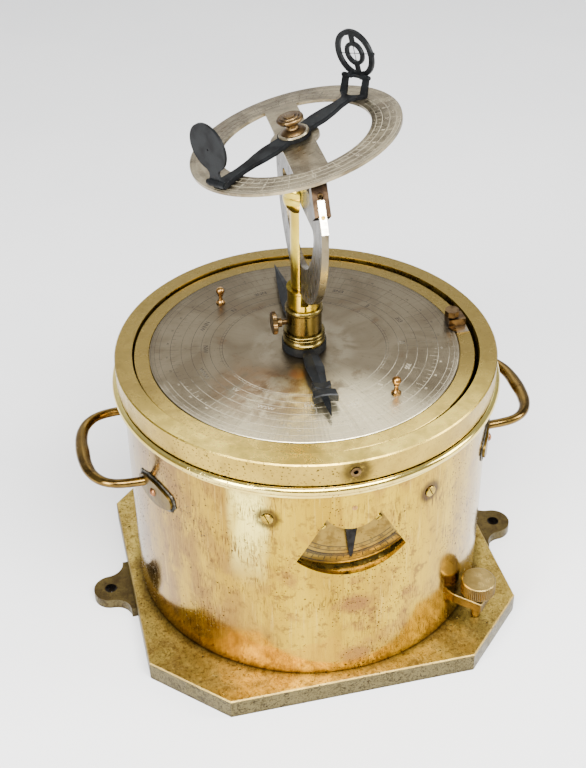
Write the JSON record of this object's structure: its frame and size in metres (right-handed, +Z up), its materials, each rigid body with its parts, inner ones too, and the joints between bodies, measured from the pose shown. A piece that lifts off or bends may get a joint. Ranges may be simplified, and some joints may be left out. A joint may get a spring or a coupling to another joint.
{
  "type": "sun compass pelorus",
  "caption": "Brass drum on a lugged levelling plate with a swinging compass bowl, a column with a latitude arc, and a tilting hour ring carrying a sighting alidade.",
  "frame": {"origin": "centre of the base plate's underside, on the drum's axis", "axes": "+Z up the drum's axis, -Y towards the clinometer window, X through the two mounting lugs"},
  "size_m": [0.324, 0.267, 0.4043],
  "materials": {
    "cast_brass": "aged cast brass, scratched and brown",
    "drum_brass": "polished and lacquered sheet brass, worn, with dark pits",
    "rim_brass": "turned brass, satin, toned",
    "handle_brass": "polished brass rod",
    "silvered_brass": "silvered and brushed, engraved",
    "blackened_brass": "chemically blackened, satin",
    "bronze": "brown bronze",
    "copper": "copper-coloured, satin",
    "solder": "grey solder, uneven",
    "steel": "bright steel",
    "black_steel": "matt black",
    "ballast": "dark cast iron"
  },
  "bodies": {
    "base": {"base_plate": "cast_brass", "base_spigot": "cast_brass", "base_cap": "rim_brass", "base_cap_screws": "steel"},
    "drum": {"drum_shell": "drum_brass", "drum_floor": "drum_brass", "drum_band": "drum_brass", "drum_collar": "handle_brass", "bezel_ring": "rim_brass", "swing_pins": "copper", "drum_screws": "steel", "drum_rivets": "copper", "handle_left": "handle_brass", "handle_right": "handle_brass", "handle_feet": "rim_brass", "handle_solder": "solder", "handle_rivets": "copper", "clamp_bracket": "rim_brass", "clinometer_case": "rim_brass", "clinometer_scale": "silvered_brass", "clinometer_screws": "black_steel", "clinometer_pivot": "copper"},
    "clamp": {"clamp_screw": "rim_brass"},
    "pendulum": {"clinometer_pendulum": "black_steel"},
    "bowl": {"bowl_shell": "rim_brass", "bowl_floor": "rim_brass", "bowl_rim": "rim_brass", "bowl_trunnions": "rim_brass", "bowl_pillar": "rim_brass", "bowl_weight": "ballast", "dial_index_plate": "silvered_brass", "dial_clamp_foot": "rim_brass"},
    "dial_clamp": {"dial_clamp_screw": "copper"},
    "dial": {"dial_plate": "silvered_brass", "dial_hub": "rim_brass", "dial_post": "rim_brass", "dial_knobs": "copper"},
    "column": {"bearing_hand": "blackened_brass", "column_foot": "handle_brass", "column_sleeve": "handle_brass", "column_head": "handle_brass", "tilt_pin": "rim_brass"},
    "column_clamp": {"column_clamp_screw": "copper"},
    "arc": {"latitude_arc": "silvered_brass", "arc_index_strips": "silvered_brass", "arc_index_screws": "steel", "arc_forks": "bronze", "arc_lean_screws": "copper", "arc_stop_tab": "silvered_brass"},
    "ring": {"hour_ring": "silvered_brass", "hour_ring_lugs": "bronze"},
    "alidade": {"alidade_bar": "blackened_brass", "alidade_washer": "silvered_brass", "alidade_knob": "copper", "alidade_nut": "copper", "eye_vane_pin": "blackened_brass", "object_vane_pin": "blackened_brass"},
    "eye_vane": {"eye_vane": "blackened_brass"},
    "object_vane": {"object_vane": "blackened_brass", "object_vane_wires": "blackened_brass"}
  },
  "joints": [
    {"name": "drum_turn", "type": "hinge", "parent": "base", "child": "drum", "pos_m": [0, 0, 0.015], "axis": [0, 0, 1], "range_deg": [-20, 20]},
    {"name": "clamp_screw_turn", "type": "hinge", "parent": "drum", "child": "clamp", "pos_m": [0.09948, -0.09708, 0.034], "axis": [0, 0, 1], "range_deg": [0, 360]},
    {"name": "pendulum_swing", "type": "hinge", "parent": "drum", "child": "pendulum", "pos_m": [0, -0.117, 0.1615], "axis": [0, 1, 0], "range_deg": [-30, 30]},
    {"name": "bowl_swing", "type": "hinge", "parent": "drum", "child": "bowl", "pos_m": [-0.001, 0, 0.1939], "axis": [0, 1, 0], "range_deg": [-12, 12]},
    {"name": "dial_clamp_turn", "type": "hinge", "parent": "bowl", "child": "dial_clamp", "pos_m": [0.1038, 0.001, 0.205], "axis": [0, 0, 1], "range_deg": [0, 360]},
    {"name": "dial_turn", "type": "hinge", "parent": "bowl", "child": "dial", "pos_m": [-0.001, 0, 0.2], "axis": [0, 0, 1], "continuous": true},
    {"name": "column_turn", "type": "hinge", "parent": "dial", "child": "column", "pos_m": [-0.001, 0, 0.215], "axis": [0, 0, 1], "range_deg": [-138, 30]},
    {"name": "column_clamp_turn", "type": "hinge", "parent": "column", "child": "column_clamp", "pos_m": [-0.01998, 0.00076, 0.2214], "axis": [-0.9992, 0.0401, 0], "range_deg": [0, 360]},
    {"name": "arc_tilt", "type": "hinge", "parent": "column", "child": "arc", "pos_m": [-0.0026, 0.00006, 0.3185], "axis": [0.9992, -0.0401, 0], "range_deg": [-57, 62]},
    {"name": "ring_lean", "type": "hinge", "parent": "arc", "child": "ring", "pos_m": [-0.00256, 0.00111, 0.34148], "axis": [0.0401, 0.9982, -0.0454], "range_deg": [-12, 38]},
    {"name": "alidade_turn", "type": "hinge", "parent": "ring", "child": "alidade", "pos_m": [-0.00523, 0.00173, 0.35285], "axis": [-0.2281, 0.0533, 0.9722], "continuous": true},
    {"name": "eye_vane_fold", "type": "hinge", "parent": "alidade", "child": "eye_vane", "pos_m": [-0.06098, -0.03188, 0.34676], "axis": [-0.4962, 0.8527, -0.1632], "range_deg": [0, 75]},
    {"name": "object_vane_fold", "type": "hinge", "parent": "alidade", "child": "object_vane", "pos_m": [0.04171, 0.03318, 0.37448], "axis": [0.4962, -0.8527, 0.1632], "range_deg": [0, 75]}
  ]
}
